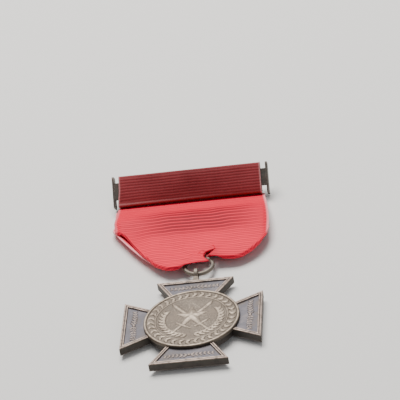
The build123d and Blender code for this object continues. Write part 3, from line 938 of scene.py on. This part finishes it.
def through(points, value):
    """A smooth line through points, read at each value."""
    points = np.array(points, float)
    steps = np.linspace(points[0, 0], points[-1, 0], 400)
    line = np.interp(steps, points[:, 0], points[:, 1])
    reach = 9
    kernel = np.hanning(2 * reach + 3)[1:-1]
    padded = np.concatenate([np.full(reach, line[0]), line, np.full(reach, line[-1])])
    return np.interp(value, steps, np.convolve(padded, kernel / kernel.sum(), "valid"))


def hanging_grid(top_y, columns, ends, curl, turn, height):
    """A grid over a hanging layer, from its top down to its lower end, which curls under.

    ends, curl and turn give each column's lowest place, the radius of its curl and how far
    round that goes, and height the surface's height. Returns places and distances along.
    """
    ends = ends + curl
    squeeze = 0.7
    rows = np.arange(top_y, ends.min() - 3 * squeeze, -rib_pitch / rib_samples)[:, None]
    over = (rows - ends) / squeeze
    even = np.linspace(1, 0, len(rows))[:, None] * (top_y - ends)
    y = ends + 0.97 * squeeze * np.logaddexp(0, over) + 0.03 * even
    y[0] = top_y
    angle = np.linspace(0, 1, 20)[1:, None] * turn
    dip = np.concatenate([0 * y, curl * (1 - np.cos(angle))])
    along = np.concatenate([top_y - y, top_y - ends + curl * angle])
    y = np.concatenate([y, ends - curl * np.sin(angle)])
    x = np.repeat(columns[None], len(y), 0)
    return x, y, height(x, np.maximum(y, ends)) - dip, along


left_edge, right_edge = -20.5, 16.8
left_ends = [
    (-20.5, 39.9), (-19.9, 39.2), (-18.9, 38.8), (-17.9, 37.6), (-16.5, 35.2), (-14.6, 31.4),
    (-12.9, 28.2), (-10.0, 24.2), (-7.5, 22.1), (-5.7, 21.5), (-3.8, 22.0), (-1.4, 22.6),
    (1.0, 22.8), (3.6, 22.8),
]
right_ends = [
    (3.601, 24.9), (5.0, 24.8), (6.9, 24.6), (8.6, 24.5), (10.5, 25.0), (12.8, 26.6),
    (14.6, 28.9), (16.0, 31.6), (16.6, 34.4), (16.8, 36.4),
]


def spread(x, y):
    """How far a point moves aside, so that the sides follow the slack of the cloth."""
    left = -0.45 * smooth_step((y - 40) / 3) * (1 - 0.6 * smooth_step((y - 50.5) / 2))
    left = left * np.clip((-2.0 - x) / 18.9, 0, 1)
    right = -1.5 * np.clip((y - 38) / 14, 0, 1) ** 1.5 * np.clip((x + 2.0) / 18.8, 0, 1)
    return left + right


def front_height(x, y):
    """Height of the front layer's middle."""
    rise = 1.22 + 1.95 * smooth_step((bend[1] - 0.3 - y) / 9.5) - 0.4 * smooth_step((38 - y) / 14)
    tucked = 0.12 * smooth_step((y - bend[1] + 0.6) / 1.2)
    side = np.maximum(left_edge + 1.6 - x, x - right_edge + 1.6) / 1.6
    rise = rise - tucked - 0.5 * smooth_step(side) * smooth_step((bend[1] - 1 - y) / 5)
    rise = rise - 0.35 * smooth_step((-4.5 - x) / 7) * smooth_step((28 - y) / 6)
    rise = rise - 0.35 * smooth_step((x - 6.5) / 6) * smooth_step((29 - y) / 5)
    rise = rise - 0.5 * smooth_step((-10 - x) / 6) * smooth_step((43 - y) / 5)
    reach = np.hypot(x - ring_x - 0.6, y - 23.5)
    fan = np.arctan2(x - ring_x - 0.6, y - 23.5)
    pleats = 0.22 * np.cos(fan * 11 + 0.6) * smooth_step((reach - 1.5) / 2) * np.exp(-reach / 4.5)
    ripple = 0.10 * np.sin(x * 0.42 + 0.8) * np.sin((y - 20) * 0.22) + 0.05 * np.sin(x * 0.9 + y * 0.35)
    return rise + pleats + ripple * smooth_step((bend[1] - 1 - y) / 6)


def over_ring(x):
    """1 over the ring, 0 at the lobes."""
    return smooth_step((x + 4.9) / 2.4) * smooth_step((6.6 - x) / 1.8)


def torn(x, drop, side):
    """Moves the points beside the tear aside: back from the ring, and into a point at the left."""
    if side < 0:
        line = [
            (0, 0.0), (1.8, 0.8), (2.3, -0.9), (3.0, -1.8), (4.2, -2.1), (5.4, -1.4), (6.3, -0.8), (9, -0.8)
        ]
        near = np.exp(-(((tear_x - x) / 2.6) ** 2))
    else:
        line = [(0, 0.0), (1.8, 0.8), (2.8, -0.1), (3.8, -0.8), (5.0, -0.2), (9, 0.2)]
        near = np.exp(-(((x - tear_x) / 2.2) ** 2))
    return x + near * through(line, drop)


# Its groove colour is strong painted shade between the ribs.
fall_silk = silk_finish(
    "ribbed_silk_hanging",
    deep=(0.64, 0.007, 0.036, 1),
    pale_tone=(1.0, 0.014, 0.056, 1),
    groove=(0.36, 0.26, 0.30, 1),
    edge=(1.0, 0.50, 0.53, 1),
)
left_count, right_count = 66, 36
columns = np.concatenate([
    np.linspace(left_edge, tear_x, left_count), np.linspace(tear_x, right_edge, right_count)
])
on_left = np.arange(len(columns)) < left_count
ends = np.where(on_left, through(left_ends, columns), through(right_ends, columns))
curl = 0.42 - 0.20 * over_ring(columns) - 0.14 * smooth_step((-9 - columns) / 4)
curl = curl - 0.34 * smooth_step((columns - 13.6) / 3.2)
turn = math.radians(150) - math.radians(95) * over_ring(columns)
x, y, z, along = hanging_grid(front_top, columns, ends, curl, turn, front_height)
tear_reach = tear_top + 1.8
slit_row = int(np.argmax(y[:, left_count] < tear_reach))
for grid in (y, z, along):
    shared = grid[:slit_row + 1, left_count - 1:left_count + 1].mean(1, keepdims=True)
    grid[:slit_row + 1, left_count - 1:left_count + 1] = shared
drop = np.clip(tear_reach - y, 0, None)
x = np.where(on_left[None], torn(x, drop, -1), torn(x, drop, 1))
beside_tear = np.exp(-(((x - tear_x) / 1.6) ** 2)) * smooth_step(drop / 3)
x = x + spread(x, y)
across = np.repeat(((columns - left_edge) / (right_edge - left_edge) * ribbon_width)[None], len(y), 0)
slack = smooth_step((y - 33.5) / 4) * smooth_step((48 - y) / 3) * np.exp(-(((x + 0.6) / 13.5) ** 4))
# Paler toward the lobes, painted light where they face up, and darker across the slack, painted shade.
paleness = 0.62 + 0.45 * smooth_step((38 - y) / 10) - 0.25 * slack * np.exp(-(((x + 1) / 11) ** 2))
# A painted shadow under the band along the top of the drape. The cloth beside the tear is darkened too.
soil_and_shade = 0.75 * smooth_step((y - bend[1] + 0.75) / 0.9) + 0.35 * beside_tear
paired = 0.2 + 0.65 * slack
base = np.stack([x, y, z], -1)
points, faces, numbers = strip_mesh(
    base, along, across, ribbon_width, paleness, soil_and_shade, paired, 0.7, slit=(left_count - 1, slit_row)
)
# Painted shade in the grooves between the ribs across the slack.
numbers["soil_and_shade"] = numbers["soil_and_shade"] + 0.5 * np.tile(slack.ravel(), 2) * (1 - numbers["rib"])
numbers["selvage_and_highlight"] = numbers["selvage_and_highlight"] * np.where(numbers["across"] < ribbon_width / 2, 0.4, 1)

# Broken ends of warp stand out of both edges of the tear.
frayed = random.Random(19)
frayed_ends, frayed_radius = 46, 0.035
steps, sides = 9, 5
for _ in range(frayed_ends):
    row = frayed.randrange(slit_row + 6, len(base) - 24)
    side = frayed.choice((-1, 1))
    torn_column = left_count - 1 if side < 0 else left_count
    place = base[row, torn_column] + np.array([0, 0, frayed.uniform(-0.1, 0.1)])
    heading = np.array([
        -side * frayed.uniform(0.5, 1), frayed.uniform(-1, 0.3), frayed.uniform(-0.5, 0.2)
    ])
    share = np.linspace(0, 1, steps)[:, None]
    droop = np.array([0, frayed.uniform(-0.4, 0.2), -frayed.uniform(0.1, 0.5)])
    line = place + frayed.uniform(0.35, 1.0) * (heading * share + droop * share**2)
    turns = np.arange(sides) * 2 * math.pi / sides
    round_it = np.stack([0 * turns, np.cos(turns), np.sin(turns)], -1) * frayed_radius
    tube = line[:, None] + round_it[None] * (1.1 - 0.6 * share[..., None])
    start = len(points)
    faces += grid_faces(steps, sides, start, closed=True)
    end = start + (steps - 1) * sides
    faces += [tuple(range(start + sides - 1, start - 1, -1)), tuple(range(end, end + sides))]
    points = np.concatenate([points, tube.reshape(-1, 3)])
    more = {"along": 1, "across": place[0], "rib": 0.8, "selvage_and_highlight": 0.3, "paleness": 0.8, "soil_and_shade": 0.1}
    for label in numbers:
        numbers[label] = np.concatenate([numbers[label], np.full(steps * sides, more[label])])


def tidied(piece):
    """Joins points that lie together."""
    shape = bmesh.new()
    shape.from_mesh(piece.data)
    bmesh.ops.remove_doubles(shape, verts=shape.verts, dist=0.0001 * MM)
    shape.to_mesh(piece.data)
    shape.free()


fall = new_piece("ribbon_fall_front", points, faces, fall_silk, numbers)
tidied(fall)
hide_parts("ribbon_front")
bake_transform(fall)


# --- Hanging ribbon, rear -------------------------------------
# The same strip comes back up behind the ring and lies on the surface. Its slanting selvage
# shows past the front layer at the lower left. A gathered tongue of it goes through the ring.

rear_left, rear_right = -21.1, 16.2
rear_ends = [
    (-21.1, 41.2), (-20.5, 39.8), (-19.6, 38.2), (-16.9, 33.7), (-14.2, 29.6), (-11.5, 26.2),
    (-9.6, 25.1), (-7.4, 25.4), (-5.6, 26.2), (-3.6, 27.2), (0.0, 27.4), (3.0, 28.4),
    (6.0, 28.8), (9.0, 28.6), (11.5, 29.2), (13.5, 31.2), (15.2, 34.0), (16.2, 36.6),
]


def rear_height(x, y):
    """Height of the rear layer's middle, which rises a little along its slanting edge."""
    past = smooth_step((through(rear_ends, x) + 5 - y) / 5) * smooth_step((-8 - x) / 4)
    pinched = 0.28 * smooth_step((y - bend[1] + 4.5) / 3.5)
    return 0.36 + 1.32 * past + pinched + 0.05 * np.sin(x * 0.5) ** 2 * (1 - pinched)


columns = np.linspace(rear_left, rear_right, 84)
ends = through(rear_ends, columns)
x, y, z, along = hanging_grid(rear_top, columns, ends, 0 * ends + 0.05, 0 * ends + 0.2, rear_height)
slant = smooth_step((-5 - x) / 2) * (1 - smooth_step((y - ends) / 1.3))
x = x + spread(x, y)
share = (columns - rear_left) / (rear_right - rear_left)
across = np.repeat((share * ribbon_width)[None], len(y), 0)
points, faces, numbers = strip_mesh(np.stack([x, y, z], -1), along, across, ribbon_width, 0.6)
numbers["selvage_and_highlight"] = np.maximum(numbers["selvage_and_highlight"], 0.8 * np.tile(slant.ravel(), 2))

# Distance past the ring's top, and height.
tongue_path = [
    (2.0, 2.35), (0.4, 2.35), (-0.5, 2.3), (-1.2, 1.9), (-1.35, 1.5), (-1.2, 1.1), (-0.5, 0.7),
    (0.4, 0.66), (2.0, 0.55),
]
tongue_path = [(ring_high.y + past, height) for past, height in tongue_path]
path, marks = smooth_path(tongue_path, rib_pitch / rib_samples)
share = np.linspace(0, 1, 78)
ruffle = 0.11 * np.sin(share * math.pi * 2 * 6)[None]
bulge = np.sin(np.linspace(0, math.pi, len(path)))[:, None]
fanned = 2.5 + 1.2 * (1 - bulge)
tongue = np.stack([
    ring_x + (share - 0.5)[None] * fanned,
    path[:, :1] - 0.6 * ruffle * bulge,
    path[:, 1:] + ruffle * (1 - bulge),
], -1)
along = np.repeat(marks[:, None], len(share), 1)
across = np.repeat((2 + share * (ribbon_width - 4))[None], len(path), 0)
more_points, more_faces, more_numbers = strip_mesh(tongue, along, across, ribbon_width, 0.4, 0.35)
faces += [tuple(len(points) + corner for corner in face) for face in more_faces]
numbers = {label: np.concatenate([numbers[label], more_numbers[label]]) for label in numbers}
rear = new_piece("ribbon_fall_rear", np.concatenate([points, more_points]), faces, fall_silk, numbers)
tidied(rear)
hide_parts("ribbon_rear", "ribbon_fold")
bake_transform(rear)
